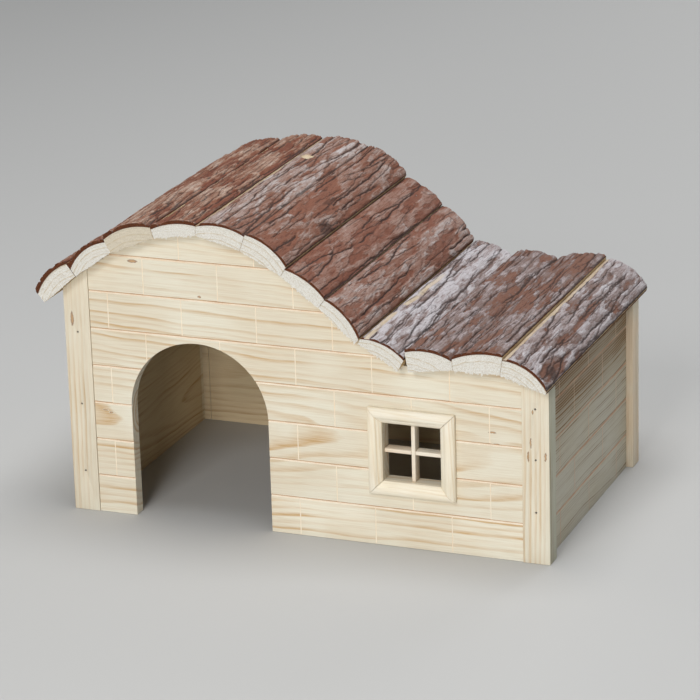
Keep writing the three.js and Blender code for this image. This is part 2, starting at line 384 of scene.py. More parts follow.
@dataclass(frozen=True)
class Pine:
    """Planed pine: pale wood with darker growth rings round a pith line behind the face."""

    name: str
    grain: Grain
    pith: tuple[float, float]  # across and through, in the frame's millimetres
    slope: float = 0.0  # how fast the pith line leaves the face along the grain
    ring: float = 5.0  # width of a growth ring
    wander: float = 8.0  # how far the rings wave
    early: Colour = shade(230, 221, 200)
    late: Colour = shade(206, 172, 126)
    contrast: float = 0.8
    tint: Colour = shade(236, 231, 213)
    knots: tuple[Knot, ...] = ()
    strong_above: float = -900.0  # the rings are faint below this height
    stain: float = 0.0  # how far the wood above that height is darkened
    seed: float = 0.0
    blur: float = 0.9  # how far the knots' outlines wander
    drift_scale: tuple[float, float] = (0.0045, 0.012)  # of the rings' waves, along and across the grain
    fibre_scale: tuple[float, float] = (0.02, 0.9)  # of the fibres, along and across the grain
    fade: float = 30.0  # how gradually the rings grow strong, either way of strong_above
    faintness: float = 0.35  # the rings' strength below strong_above
    bend: float = 1.6  # how many rings a knot pushes aside
    dust: Colour = shade(204, 182, 148)
    knot_rim: Colour = shade(132, 92, 62)
    knot_heart: Colour = shade(204, 166, 122)
    pore_depth: float = 0.12

    def scale(self, sizes: tuple[float, float], times: float = 1.0) -> Colour:
        """Gives a pattern's scale on each axis from its scales along and across the grain."""
        scales = [sizes[1] * times] * 3
        scales[self.grain.value[0]] = sizes[0] * times
        return tuple(scales)

    def knot_mask(self, sheet: Sheet, place: Socket) -> Socket | None:
        """Marks the knots.

        Args:
            sheet: The material's nodes.
            place: The place on the piece.

        Returns:
            0 away from the knots and 1 at their hearts, or None where there are none.
        """
        smudge = sheet.add_vectors(place, sheet.noise(place, 0.45, 3).outputs["Color"], 2 * self.blur)
        axes = sheet.split(smudge)
        along, across = (axes[i] for i in self.grain.value[:2])
        mask = None
        for knot in self.knots:
            away = sheet.maths("SUBTRACT", along, knot.along + self.blur)
            du = sheet.maths("MULTIPLY", away, 1 / knot.slender)
            dv = sheet.maths("SUBTRACT", across, knot.across + self.blur)
            spot = sheet.fit(sheet.length(du, dv), knot.radius * 1.6, 0.0)
            mask = spot if mask is None else sheet.maths("MAXIMUM", mask, spot)
        return mask

    def turns(self, sheet: Sheet, place: Socket) -> Socket:
        """Counts the growth rings out from the waved pith line.

        Args:
            sheet: The material's nodes.
            place: The place on the piece.

        Returns:
            The number of rings.
        """
        shift = (self.seed, self.seed * 0.7, -self.seed)
        slow = sheet.stretch(place, self.scale(self.drift_scale), shift)
        quick = sheet.stretch(place, self.scale(self.drift_scale, 3.5))
        drift, wobble = (sheet.noise(vector, 1.0, 2.0).outputs["Color"] for vector in (slow, quick))
        waved = sheet.add_vectors(place, sheet.add_vectors(drift, wobble, 0.22), 2 * self.wander)
        axes = sheet.split(waved)
        along, across, through = (axes[i] for i in self.grain.value)
        across_pith = sheet.maths("SUBTRACT", across, self.pith[0] + self.wander)
        deep = sheet.maths("MULTIPLY_ADD", along, self.slope, -(self.pith[1] + self.wander))
        through_pith = sheet.maths("ADD", through, deep)
        return sheet.maths("DIVIDE", sheet.length(across_pith, through_pith), self.ring)

    def late_share(self, sheet: Sheet, place: Socket, turns: Socket, fibre: Socket) -> Socket:
        """Finds how much of each place is dark late wood.

        Args:
            sheet: The material's nodes.
            place: The place on the piece.
            turns: How many rings out each place is.
            fibre: The fibres' noise.

        Returns:
            The share of late wood.
        """
        within = sheet.maths("FRACT", turns)
        late = sheet.ramp(within, [(0.0, 0.04), (0.35, 0.1), (0.82, 1.0), (0.93, 0.7), (1.0, 0.04)])
        strength = sheet.fit(sheet.chance(sheet.maths("FLOOR", turns)), 0.1, 1.0, 0.1, 1.0)
        broad = sheet.stretch(place, self.scale(self.drift_scale, 2), (9.1, 2.2, 4.4))
        patchy = sheet.fit(sheet.noise(broad, 1.0, 2.0).outputs[0], 0.36, 0.6, 0.35, 1.25)
        for factor in (strength, patchy, sheet.fit(fibre, 0.3, 0.7, 0.7, 1.25), self.contrast):
            late = sheet.maths("MULTIPLY", late, factor)
        level = sheet.split(place)[2]
        high = sheet.fit(level, self.strong_above - self.fade, self.strong_above + self.fade)
        late = sheet.maths("MULTIPLY", late, sheet.fit(high, 0.0, 1.0, self.faintness, 1.0))
        return sheet.maths("MULTIPLY_ADD", high, self.stain, late)

    def build(self) -> bpy.types.Material:
        """Makes the material."""
        sheet = Sheet(self.name)
        place = sheet.place()
        turns = self.turns(sheet, place)
        knots = self.knot_mask(sheet, place) if self.knots else None
        if knots is not None:
            turns = sheet.maths("MULTIPLY_ADD", knots, self.bend, turns)
        fibre = sheet.noise(sheet.stretch(place, self.scale(self.fibre_scale)), 1.6, 4, 0.6).outputs[0]
        late = self.late_share(sheet, place, turns, fibre)
        broad = sheet.noise(place, 0.013, 2).outputs[0]
        base = sheet.mix(sheet.fit(broad, 0.35, 0.7), self.early, self.tint)
        colour = sheet.mix(late, base, self.late)
        colour = sheet.mix(sheet.fit(fibre, 0.35, 0.75, 0.0, 0.22), colour, self.dust, "MULTIPLY")
        if knots is not None:
            colour = sheet.mix(sheet.fit(knots, 0.1, 0.4, 0, 0.75), colour, self.knot_rim)
            colour = sheet.mix(sheet.fit(knots, 0.45, 0.85, 0, 0.8), colour, self.knot_heart)
        height = sheet.maths("MULTIPLY_ADD", late, -0.35, fibre)
        rough = sheet.fit(fibre, 0.3, 0.7, 0.55, 0.72)
        return sheet.finish(colour, rough, height, self.pore_depth, 0.3)


@dataclass(frozen=True)
class ScoredGroove:
    """The slightly furry wood inside a scored line, made in lit and shaded copies whose colours are partly
    the cut wood's own and partly painted highlight and painted shade.
    """

    name: str
    pale: Colour
    rosy: Colour

    def build(self) -> bpy.types.Material:
        """Makes the material."""
        sheet = Sheet(self.name)
        place = sheet.place()
        fur = sheet.noise(place, 0.9, 4, 0.7).outputs[0]
        drift = sheet.noise(place, 0.05, 2).outputs[0]
        share = sheet.maths("MULTIPLY_ADD", fur, 0.5, sheet.maths("MULTIPLY", drift, 0.5))
        colour = sheet.mix(sheet.fit(share, 0.34, 0.66), self.pale, self.rosy)
        return sheet.finish(colour, 0.85, fur, 0.2, 0.2)


@dataclass(frozen=True)
class SawnEnd:
    """Rough-sawn end grain of a slat: near white, with faint arcs of growth rings."""

    name: str = "sawn_end"
    pale: Colour = shade(247, 245, 238)
    beige: Colour = shade(230, 220, 200)
    ring_colour: Colour = shade(208, 186, 146)
    fuzz_colour: Colour = shade(204, 192, 168)
    ring: float = 2.9
    beige_slat: float = 2.0  # the number, from 0, of the one slat whose wood is beige

    def build(self) -> bpy.types.Material:
        """Makes the material."""
        sheet = Sheet(self.name)
        log = sheet.attribute("log").outputs["Vector"]
        drift = sheet.noise(log, 0.12, 2).outputs["Color"]
        x, along, z = sheet.split(sheet.add_vectors(log, drift, 2.0))
        turns = sheet.maths("DIVIDE", sheet.length(x, z), self.ring)
        within = sheet.maths("FRACT", turns)
        arcs = sheet.ramp(within, [(0.0, 0.0), (0.55, 0.15), (0.85, 1.0), (1.0, 0.1)])
        depth = sheet.chance(sheet.maths("FLOOR", turns))
        fuzz = sheet.noise(log, 1.1, 5, 0.8).outputs[0]
        patch = sheet.noise(log, 0.16, 2).outputs[0]
        share = sheet.maths("MULTIPLY", arcs, sheet.fit(patch, 0.3, 0.65, 0.3, 0.95))
        share = sheet.maths("MULTIPLY", share, sheet.fit(depth, 0.2, 1.0, 0.1, 1.0))
        slat = sheet.maths("ROUND", sheet.maths("DIVIDE", along, LOG_STEP))
        base = sheet.mix(sheet.maths("COMPARE", slat, self.beige_slat, 0.5), self.pale, self.beige)
        colour = sheet.mix(share, base, self.ring_colour)
        colour = sheet.mix(sheet.fit(fuzz, 0.44, 0.66, 0.0, 0.75), colour, self.fuzz_colour)
        height = sheet.maths("MULTIPLY_ADD", arcs, 0.15, fuzz)
        return sheet.finish(colour, 0.92, height, 1.1, 0.15)


@dataclass(frozen=True)
class SawnFace:
    """A slat's rough-sawn long faces, with the blade's marks across the grain."""

    name: str = "sawn_face"
    pale: Colour = shade(226, 208, 170)
    dark: Colour = shade(190, 154, 106)
    blade_mark: Colour = shade(170, 138, 98)

    def build(self) -> bpy.types.Material:
        """Makes the material."""
        sheet = Sheet(self.name)
        log = sheet.attribute("log").outputs["Vector"]
        fibre = sheet.noise(sheet.stretch(log, (0.9, 0.02, 0.9)), 1.5, 4, 0.65).outputs[0]
        saw = sheet.noise(sheet.stretch(log, (0.02, 0.5, 0.02)), 1.4, 3, 0.6).outputs[0]
        colour = sheet.mix(sheet.fit(fibre, 0.35, 0.7), self.pale, self.dark)
        colour = sheet.mix(sheet.fit(saw, 0.5, 0.75, 0, 0.35), colour, self.blade_mark, "MULTIPLY")
        height = sheet.maths("ADD", fibre, sheet.maths("MULTIPLY", saw, 0.8))
        return sheet.finish(colour, 0.88, height, 0.5, 0.2)


@dataclass(frozen=True)
class Bark:
    """Outer bark: weathered plates over a redder under-layer, with dark cracks and bare wood; the cracks'
    darkness is partly painted shade.
    """

    name: str
    plate: Colour  # weathered outer plates
    bright: Colour  # the palest plates
    under: Colour  # where a plate has come off
    brown: Colour  # between the two
    # the cracks' dark bark, deepened past it as painted shade
    crack: Colour = shade(48, 30, 24)
    fibre_shade: Colour = shade(150, 124, 112)
    bare: Colour = shade(210, 194, 166)
    bare_ring: Colour = shade(184, 160, 126)
    weathered: float = 0.5  # share of the surface that is weathered

    def build(self) -> bpy.types.Material:
        """Makes the material."""
        sheet = Sheet(self.name)
        log = sheet.attribute("log").outputs["Vector"]
        tone, relief, gap = sheet.split(sheet.attribute("growth").outputs["Color"])
        bare = sheet.attribute("growth").outputs["Alpha"]
        mottle = sheet.noise(sheet.stretch(log, (1.0, 0.16, 1.0)), 0.2, 4, 0.62, 0.5).outputs[0]
        flake = sheet.noise(sheet.stretch(log, (1.0, 0.35, 1.0)), 0.8, 5, 0.65, 0.6).outputs[0]
        fibre = sheet.noise(sheet.stretch(log, (1.0, 0.1, 1.0)), 0.9, 5, 0.7, 0.3).outputs[0]
        bent = sheet.add_vectors(log, sheet.noise(log, 0.35, 4, 0.6).outputs["Color"], 3.2)
        slender = sheet.stretch(bent, (1.0, 0.24, 1.0))
        scales = sheet.node("ShaderNodeTexVoronoi", {"Vector": slender, "Scale": 0.27})
        scale_tone, scale_rise, _ = sheet.split(scales.outputs["Color"])
        shares = (
            (tone, 0.22), (relief, 0.22), (scale_tone, 0.26), (mottle, 1.0), (fibre, 0.5), (flake, 0.35),
        )
        age = self.weathered - 1.33  # the shares' usual sum
        for part, share in shares:
            age = sheet.maths("MULTIPLY_ADD", part, share, age)
        stops = [(0.12, self.under), (0.36, self.brown), (0.62, self.plate), (0.92, self.bright)]
        colour = sheet.ramp(age, stops)
        colour = sheet.mix(sheet.fit(fibre, 0.5, 0.36, 0.0, 0.5), colour, self.fibre_shade, "MULTIPLY")
        # Partly the cracks' own dark bark, partly painted shade: the colour darkens in the cracks, beside the
        # plates' ledges and along the slat's sides.
        crack_shade = sheet.fit(gap, 0.95, 0.15, 0.0, 0.88)
        colour = sheet.mix(crack_shade, colour, self.crack)
        wood = sheet.mix(sheet.fit(fibre, 0.4, 0.68), self.bare, self.bare_ring)
        colour = sheet.mix(bare, colour, wood)
        height = sheet.maths("MULTIPLY_ADD", fibre, 0.6, sheet.maths("MULTIPLY", flake, 0.7))
        height = sheet.maths("MULTIPLY_ADD", scale_rise, 0.45, height)
        height = sheet.maths("MULTIPLY", height, sheet.fit(bare, 0.0, 1.0, 1.0, 0.3))
        rough = sheet.fit(age, 0.2, 0.9, 0.85, 0.62)
        return sheet.finish(colour, rough, height, 0.9, 0.4)


@dataclass(frozen=True)
class BarkCut:
    """The sawn edge of the bark: dark orange brown, in thin layers."""

    name: str = "bark_cut"
    dark: Colour = shade(52, 29, 20)
    warm: Colour = shade(116, 66, 40)

    def build(self) -> bpy.types.Material:
        """Makes the material."""
        sheet = Sheet(self.name)
        log = sheet.attribute("log").outputs["Vector"]
        layers = sheet.noise(sheet.stretch(log, (0.3, 0.2, 2.0)), 1.0, 4, 0.65).outputs[0]
        grit = sheet.noise(log, 1.5, 4, 0.7).outputs[0]
        mixed = sheet.maths("MULTIPLY_ADD", grit, 0.5, sheet.maths("MULTIPLY", layers, 0.5))
        colour = sheet.ramp(mixed, [(0.36, self.dark), (0.62, self.warm)])
        return sheet.finish(colour, 0.9, mixed, 0.8, 0.2)


@dataclass(frozen=True)
class Steel:
    """Bright wire steel of the brads, dulled by the weather."""

    name: str = "brad_wire"
    bright: Colour = shade(150, 146, 140)
    dull: Colour = shade(84, 74, 66)

    def build(self) -> bpy.types.Material:
        """Makes the material."""
        sheet = Sheet(self.name)
        spots = sheet.noise(sheet.place(), 1.8, 4, 0.6).outputs[0]
        colour = sheet.mix(sheet.fit(spots, 0.4, 0.6), self.bright, self.dull)
        sheet.shader.inputs["Metallic"].default_value = 0.85
        return sheet.finish(colour, sheet.fit(spots, 0.35, 0.65, 0.35, 0.6), spots, 0.08, 0.5)


@dataclass(frozen=True)
class StudioFloor:
    """A plain pale floor."""

    name: str = "studio_floor"
    colour: Colour = (0.5, 0.5, 0.49)

    def build(self) -> bpy.types.Material:
        """Makes the material."""
        sheet = Sheet(self.name)
        sheet.shader.inputs["Base Color"].default_value = (*self.colour, 1)
        sheet.shader.inputs["Roughness"].default_value = 0.9
        sheet.shader.inputs["Specular IOR Level"].default_value = 0.1
        return sheet.material


# ----------------------------------------------------------------------------------------------
# Pieces
# ----------------------------------------------------------------------------------------------


@dataclass
class Workshop:
    """Lays the house's millimetres in the frame and turns meshes into pieces."""

    frame: dict
    origin: Vector = field(init=False)
    brad_finish: bpy.types.Material = field(init=False)
    shaded_inner_finishes: list[bpy.types.Material] = field(init=False)

    def __post_init__(self) -> None:
        """Finds the house's origin and makes the finishes that several sub-assemblies share."""
        self.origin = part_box("front_left_post")[0]
        self.brad_finish = Steel().build()
        # The inside faces' pine is darker and warmer than the outside's: painted shade of the house's dim
        # inside.
        early, late = shade(222, 204, 168), shade(178, 136, 88)
        back, left = self.centre("back_wall"), self.centre("left_wall")
        across = Pine(
            "pine_inner_shaded_front_and_back", Grain.ALONG_X, pith=(60, back.y - 40), slope=0.06, ring=5.0,
            wander=10, early=early, late=late, tint=shade(226, 206, 170), contrast=0.7,
            knots=(Knot(-128, 128, 2.0, 5), Knot(120, 60, 1.6)), seed=5.0,
        )
        deep = Pine(
            "pine_inner_shaded_sides", Grain.ALONG_Y, pith=(40, left.x + 30), slope=0.05, ring=4.6, wander=9,
            early=early, late=late, tint=shade(214, 196, 160), contrast=0.6, seed=9.0,
        )
        self.shaded_inner_finishes = [across.build(), deep.build()]

    def to_frame(self, points: np.ndarray) -> np.ndarray:
        """Turns the house's millimetres into the frame's metres."""
        return points * MM + np.array(self.origin)

    def centre(self, node: str) -> Vector:
        """Gives the middle of a CAD node in the frame's millimetres."""
        low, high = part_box(node)
        return (low + high) / 2 / MM

    def publish(
        self,
        bm: bmesh.types.BMesh,
        name: str,
        finishes: list[bpy.types.Material],
        slot: str,
        nodes: tuple[str, ...] = (),
        sharp: float = 40,
    ) -> bpy.types.Object:
        """Turns a mesh into a piece that rides on the house.

        Args:
            bm: The mesh, in the frame's metres. It is freed.
            name: The piece's name.
            finishes: Materials, in the order of the faces' numbers.
            slot: The record's material slot; not used.
            nodes: CAD nodes that the piece stands for.
            sharp: Edges that turn by more than this many degrees stay sharp.

        Returns:
            The piece.
        """
        mesh = bpy.data.meshes.new(name)
        for face in bm.faces:
            face.smooth = True
        bm.to_mesh(mesh)
        bm.free()
        mesh.set_sharp_from_angle(angle=math.radians(sharp))
        for finish in finishes:
            mesh.materials.append(finish)
        piece = bpy.data.objects.new(name, mesh)
        bpy.context.scene.collection.objects.link(piece)
        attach(piece, "root")
        if nodes:
            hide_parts(*nodes)
        LOG.info("%s: %d faces", name, len(mesh.polygons))
        return piece

    def copy_node(self, node: str) -> bmesh.types.BMesh:
        """Copies a CAD node's mesh, with its loose triangles merged into clean flat faces.

        Args:
            node: The CAD node.

        Returns:
            The merged mesh, in the frame's metres.
        """
        bm = bmesh.new()
        bm.from_mesh(self.frame["nodes"][node].data)
        bmesh.ops.remove_doubles(bm, verts=bm.verts, dist=0.01 * MM)
        bmesh.ops.dissolve_limit(bm, angle_limit=math.radians(0.5), verts=bm.verts, edges=bm.edges)
        return bm

    @staticmethod
    def ease_edges(bm: bmesh.types.BMesh, width: float, turn: float, crisp: tuple[int, ...] = ()) -> None:
        """Rounds a mesh's sharp edges, as planing and sanding leave them.

        Args:
            bm: The mesh, in metres.
            width: Width of the rounding, in millimetres.
            turn: Edges that turn by more than this many degrees are rounded.
            crisp: Numbers of finishes whose faces keep their sharp edges.
        """
        limit = math.radians(turn)
        edges = [e for e in bm.edges if e.is_manifold and e.calc_face_angle() > limit]
        edges = [e for e in edges if all(f.material_index not in crisp for f in e.link_faces)]
        bmesh.ops.bevel(
            bm, geom=edges, offset=width * MM, offset_type="OFFSET", segments=2, profile=0.5,
            affect="EDGES", material=-1, clamp_overlap=True,
        )


class WallFace(IntEnum):
    """The finishes of a panel, by the number its faces carry."""

    OUTER = 0
    # the other sides of a scored line; their pale finish is partly a painted highlight
    GROOVE = 1
    GROOVE_UNDER = 2  # the side of a level scored line that faces down, which takes a darker finish: painted shade
    # inside faces, which take the darker inner pine: painted shade
    INNER = 3


@dataclass
class Walls:
    """The four scored panels."""

    shop: Workshop
    rounding: float = 0.25

    def finishes(self) -> dict[str, Pine]:
        """Gives each panel's pine."""
        front = self.shop.centre("front_wall")
        back = self.shop.centre("back_wall")
        left = self.shop.centre("left_wall")
        right = self.shop.centre("right_wall")
        return {
            "front_wall": Pine(
                "pine_front", Grain.ALONG_X, pith=(103, front.y + 30), slope=-0.07, ring=5.8, wander=11,
                knots=(
                    Knot(-157, 255, 1.5, 3.2), Knot(-90, 226, 1.0, 1.6), Knot(-193, 104, 0.7, 3.5),
                    Knot(-187, 102, 0.8), Knot(195, 123, 0.8, 4.5), Knot(199, 112, 0.7, 4),
                ),
            ),
            "back_wall": Pine(
                "pine_back", Grain.ALONG_X, pith=(60, back.y - 40), slope=0.06, ring=5.0, wander=10,
                knots=(Knot(-128, 128, 2.0, 5), Knot(120, 60, 1.6)), seed=5.0,
            ),
            "left_wall": Pine(
                "pine_left", Grain.ALONG_Y, pith=(40, left.x + 30), slope=0.05, ring=4.6, wander=9, seed=9.0,
            ),
            # The right wall's pine is darker and greyer than the front's: painted shade, as this wall faces
            # away from the light.
            "right_wall": Pine(
                "pine_right_painted_shade", Grain.ALONG_Y, pith=(-46, right.x - 24), slope=0.05, ring=2.5, wander=6,
                early=shade(204, 198, 178), late=shade(136, 102, 56), tint=shade(206, 202, 186),
                contrast=2.0, strong_above=118, stain=0.5, seed=14.0,
            ),
        }

    @staticmethod
    def face_finish(normal: Vector, node: str) -> WallFace:
        """Tells which finish a panel's face takes.

        Args:
            normal: The face's direction.
            node: The panel's node.

        Returns:
            The finish.
        """
        through = normal.y if node in ("front_wall", "back_wall") else normal.x
        inward = through if node in ("front_wall", "left_wall") else -through
        if inward > FLAT:
            return WallFace.INNER
        if not LEANING < abs(through) < FLAT:
            return WallFace.OUTER
        return WallFace.GROOVE_UNDER if normal.z < -LEANING else WallFace.GROOVE

    def build(self) -> None:
        """Makes the panels from the CAD's, with their arrises eased."""
        # Lit and shaded copies of the groove finish: the pale one is partly a painted highlight on slopes
        # facing up and sideways, the darker one is painted shade on slopes facing down, and the right wall's
        # darker, rosier one is painted shade on that wall, which faces away from the light.
        groove_side_painted_shade = ScoredGroove("groove_side_painted_shade", shade(222, 200, 176), shade(214, 178, 150)).build()
        groove = ScoredGroove("groove_lit", shade(248, 240, 222), shade(240, 222, 196)).build()
        groove_painted_shade = ScoredGroove("groove_shaded", shade(212, 178, 144), shade(186, 140, 104)).build()
        for node, pine in self.finishes().items():
            bm = self.shop.copy_node(node)
            for face in bm.faces:
                face.material_index = self.face_finish(face.normal, node)
            self.shop.ease_edges(bm, self.rounding, turn=60)
            level = pine.grain is Grain.ALONG_X
            inner = self.shop.shaded_inner_finishes[0 if level else 1]
            lit = groove_side_painted_shade if node == "right_wall" else groove
            finishes = [pine.build(), lit, groove_painted_shade, inner]
            slot = "pine_panel" if level else "pine_side_panel"
            self.shop.publish(bm, node + "_board", finishes, slot, (node,), sharp=16)


@dataclass
class Posts:
    """The four corner posts and the brads driven through them."""

    shop: Workshop
    rounding: float = 0.6
    ring: float = 3.6
    slope: float = 0.01
    wander: float = 2.2

    def finish(self, node: str, number: int) -> Pine:
        """Gives a post's pine.

        Args:
            node: The post's node.
            number: The post's number, which picks its grain.

        Returns:
            The finish.
        """
        centre = self.shop.centre(node)
        knots = ()
        if node == "front_left_post":
            knots = (Knot(193, centre.x - 5, 1.5, 4.5),)
        if node == "front_right_post":
            knots = (
                Knot(147, centre.x - 2.5, 0.7, 3), Knot(117, centre.x - 4.5, 0.8, 6),
                Knot(104, centre.x - 7, 0.9, 5), Knot(105, centre.x + 9.5, 1.0, 4),
            )
        early = shade(238, 216, 188) if node == "back_right_post" else Pine.early
        return Pine(
            "pine_" + node, Grain.ALONG_Z, pith=(centre.x - 28, centre.y + 14), slope=self.slope,
            ring=self.ring, wander=self.wander, early=early, contrast=0.75, knots=knots,
            seed=20.0 + 3 * number,
        )

    def shaded_side_finish(self) -> Pine:
        """Gives the greyer, darker pine of the front right post's outer side: painted shade, as that side
        faces away from the light.
        """
        return Pine(
            "pine_post_side_painted_shade", Grain.ALONG_Z, pith=(-110, 300), slope=self.slope, ring=self.ring,
            wander=self.wander, early=shade(198, 198, 178), late=shade(150, 124, 86),
            tint=shade(204, 204, 186), contrast=0.7, seed=35.0,
        )

    @staticmethod
    def in_cut_corner(face: bmesh.types.BMFace, low: Vector, high: Vector) -> bool:
        """Tells whether an upright face lies well inside its post's section, as the cut corner's do."""
        middle = face.calc_center_median() / MM
        return abs(face.normal.z) < 0.5 and all(low[i] + 1 < middle[i] < high[i] - 1 for i in (0, 1))

    def build(self) -> None:
        """Makes the posts with their arrises eased, and dresses the brads."""
        # painted shade: the greyer, darker pine for the front right post's outer side
        grey = self.shaded_side_finish().build()
        posts = ("front_left_post", "front_right_post", "back_left_post", "back_right_post")
        for number, node in enumerate(posts):
            low, high = (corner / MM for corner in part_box(node))
            bm = self.shop.copy_node(node)
            for face in bm.faces:
                face.material_index = 0
                # The cut corner's faces lie inside the house and take the darker inner pine: painted shade.
                if self.in_cut_corner(face, low, high):
                    face.material_index = 1 if abs(face.normal.y) > 0.5 else 2
                # the front right post's outer side takes the greyer pine, painted shade
                elif node == "front_right_post" and face.normal.x > 0.5:
                    face.material_index = 3
            self.shop.ease_edges(bm, self.rounding, turn=60, crisp=(1, 2))
            finishes = [self.finish(node, number).build(), *self.shop.shaded_inner_finishes, grey]
            self.shop.publish(bm, node + "_stick", finishes, "pine_post", (node,))
        for name, node in self.shop.frame["nodes"].items():
            if "_brad_" in name:
                node.data.materials.clear()
                node.data.materials.append(self.shop.brad_finish)


@dataclass
class Window:
    """The mitred moulding and the crossed bars."""

    shop: Workshop
    rounding: float = 0.35

    def build(self) -> None:
        """Makes the mouldings and bars with their arrises eased."""
        early, late, tint = shade(244, 234, 210), shade(220, 190, 144), shade(249, 243, 227)
        rosy, rosy_late = shade(238, 220, 196), shade(212, 176, 140)
        pieces = {
            "window_trim_top": (Grain.ALONG_X, early, late),
            "window_trim_bottom": (Grain.ALONG_X, early, late),
            "window_trim_left": (Grain.ALONG_Z, early, late),
            "window_trim_right": (Grain.ALONG_Z, early, late),
            "window_bar_upright": (Grain.ALONG_Z, rosy, rosy_late),
            "window_bar_level": (Grain.ALONG_X, rosy, rosy_late),
        }
        for number, (node, (grain, pale, dark)) in enumerate(pieces.items()):
            centre = self.shop.centre(node)
            across = centre.x if grain is Grain.ALONG_Z else centre.z
            pine = Pine(
                "pine_" + node, grain, pith=(across + 22, centre.y + 30), slope=0.05, ring=3.0, wander=3,
                early=pale, late=dark, tint=tint, contrast=0.5, seed=40.0 + 2 * number,
            )
            bm = self.shop.copy_node(node)
            self.shop.ease_edges(bm, self.rounding, turn=35)
            self.shop.publish(bm, node + "_strip", [pine.build()], "pine_moulding", (node,))


class Character(Enum):
    """What kind of bark a slat wears."""

    STRINGY = "stringy"
    PLATED = "plated"
    RED = "red"
    SCALY = "scaly"


@dataclass(frozen=True)
class Growth:
    """The scale and depth of a kind of bark's plates."""

    plate_width: float
    plate_length: float
    crack_spacing: float  # about how far apart the long cracks are
    furrow: float  # how deep the cracks are
    steps: float  # how much the plates differ in height
    peel: float  # above this much noise the outer bark has come off


GROWTH = {
    Character.STRINGY: Growth(5.0, 70.0, 7.0, 0.5, 0.34, 0.5),
    Character.PLATED: Growth(8.0, 50.0, 10.0, 0.6, 0.4, 0.52),
    Character.RED: Growth(11.0, 34.0, 19.0, 0.4, 0.42, 0.5),
    Character.SCALY: Growth(10.0, 34.0, 10.0, 0.6, 0.42, 0.54),
}


@dataclass(frozen=True)
class Oval:
    """An oval patch on a slat, in millimetres across and along it."""

    across: float
    along: float
    half_width: float
    half_length: float
    rim: float = 1.1  # the patch ends at this many half sizes from its middle
    core: float = 0.95  # and is whole inside this many
    stray: float = 0.0  # how far its sides wander
    ragged: float = 0.0  # how far its ends wander

    def mask(self, across: np.ndarray, along: np.ndarray, wave: np.ndarray, jag: np.ndarray) -> np.ndarray:
        """Marks the patch.

        Args:
            across: Places across the slat.
            along: Places along the slat.
            wave: Slow noise about 0.
            jag: Quick noise about 0.

        Returns:
            1 inside the patch and 0 outside it.
        """
        sideways = (across - self.across - self.stray * wave) / self.half_width
        lengthways = (along - self.along - self.ragged * jag) / self.half_length
        return ease(self.rim, self.core, np.hypot(sideways, lengthways))


@dataclass(frozen=True)
class Slat:
    """One roof slat: its section, its tilt and its bark."""

    width: float
    tilt: float
    heights: tuple[float, float, float]
    bark: float
    character: Character
    step: tuple[float, float] = (0.4, 0.0)
    bare_left: float = 0.0  # width of the strip without bark along the left edge
    bare_lane: float = 0.0  # how far in a broken strip without bark runs
    bare_spot: Oval | None = None
    knot: Oval | None = None
    torn: tuple[Oval, ...] = ()  # where the outer bark is torn off
    ragged: float = 0.6  # how far torn fibres hang from the lower edge of its ends
    ring_shift: tuple[float, float] = (0.0, 0.0)
    age: float = 0.0  # how much greyer than its kind's usual the bark is
    shaded_right_side: bool = False  # its right side takes the dark bark-cut finish: painted shade along that edge


SLATS = (
    Slat(44.2, 40.5, (9.6, 16.5, 14), 4, Character.STRINGY, age=-0.2, shaded_right_side=True),
    Slat(45.6, 35, (7.7, 15.2, 10.7), 3.6, Character.STRINGY, age=-0.3),
    Slat(47.6, 22.5, (13.5, 16.8, 9.6), 3.6, Character.STRINGY, ragged=1.4, age=0.5),
    Slat(42.8, 8, (7.9, 11.8, 8.3), 3.6, Character.STRINGY, ragged=1.3, age=0.3),
    Slat(
        44.6, -14, (8, 15.8, 14.2), 2.6, Character.PLATED, bare_left=4.4, age=0.1,
        bare_spot=Oval(12.3, 225, 6, 6),
    ),
    Slat(
        44.6, -28, (16, 18, 10.2), 2.6, Character.PLATED, age=-1.0,
        knot=Oval(40, 92, 7.5, 13, rim=1.4, core=0.5),
    ),
    Slat(44.6, -37.5, (7.3, 12.7, 10.6), 2.6, Character.RED, ragged=1.2, age=-0.3),
    Slat(46.6, -41, (9.9, 12, 4.8), 2.6, Character.RED, ragged=1.4, age=0.4),
    Slat(
        44.2, -29.5, (5.2, 12.9, 11), 2.4, Character.SCALY, step=(2.6, 0.0), ragged=1.4, age=1.2,
        bare_lane=5.5,
    ),
    Slat(
        43.2, 8.5, (19, 17.8, 7.9), 3, Character.SCALY, step=(9.6, -1.0), ring_shift=(-14.0, 0.0),
        age=-0.8,
    ),
    Slat(44.6, 0, (10, 17, 16.5), 3, Character.SCALY, ragged=1.5, age=-1.2),
    Slat(
        45.2, -18.6, (13.6, 14.4, 2.3), 2.6, Character.SCALY, bare_left=4.0, ragged=1.2, age=0.1,
        shaded_right_side=True,
        knot=Oval(38, 16, 7, 11, rim=1.3, core=0.5),
        torn=(
            Oval(37, 22, 7, 30, stray=8, ragged=12),
            Oval(27, 140, 3.2, 70, core=0.9, stray=8),
        ),
    ),
)
BARKS = {
    Character.STRINGY: Bark(
        "bark_stringy", plate=shade(156, 122, 102), bright=shade(190, 166, 150),
        under=shade(118, 66, 47), brown=shade(130, 82, 60), weathered=0.46,
    ),
    Character.PLATED: Bark(
        "bark_plated", plate=shade(164, 143, 134), bright=shade(192, 184, 182),
        under=shade(132, 84, 64), brown=shade(140, 104, 88), weathered=0.52,
    ),
    Character.RED: Bark(
        "bark_red", plate=shade(154, 123, 110), bright=shade(182, 170, 166),
        under=shade(128, 79, 60), brown=shade(138, 99, 83), weathered=0.45,
    ),
    Character.SCALY: Bark(
        "bark_scaly", plate=shade(160, 147, 146), bright=shade(194, 189, 192),
        under=shade(124, 86, 70), brown=shade(126, 107, 101), weathered=0.56,
    ),
}
WOOD_CUTS = (0.0025, 0.008, 0.03, 0.2, 0.4, 0.6, 0.8, 0.97, 0.992, 0.9975)  # shares of a slat's length


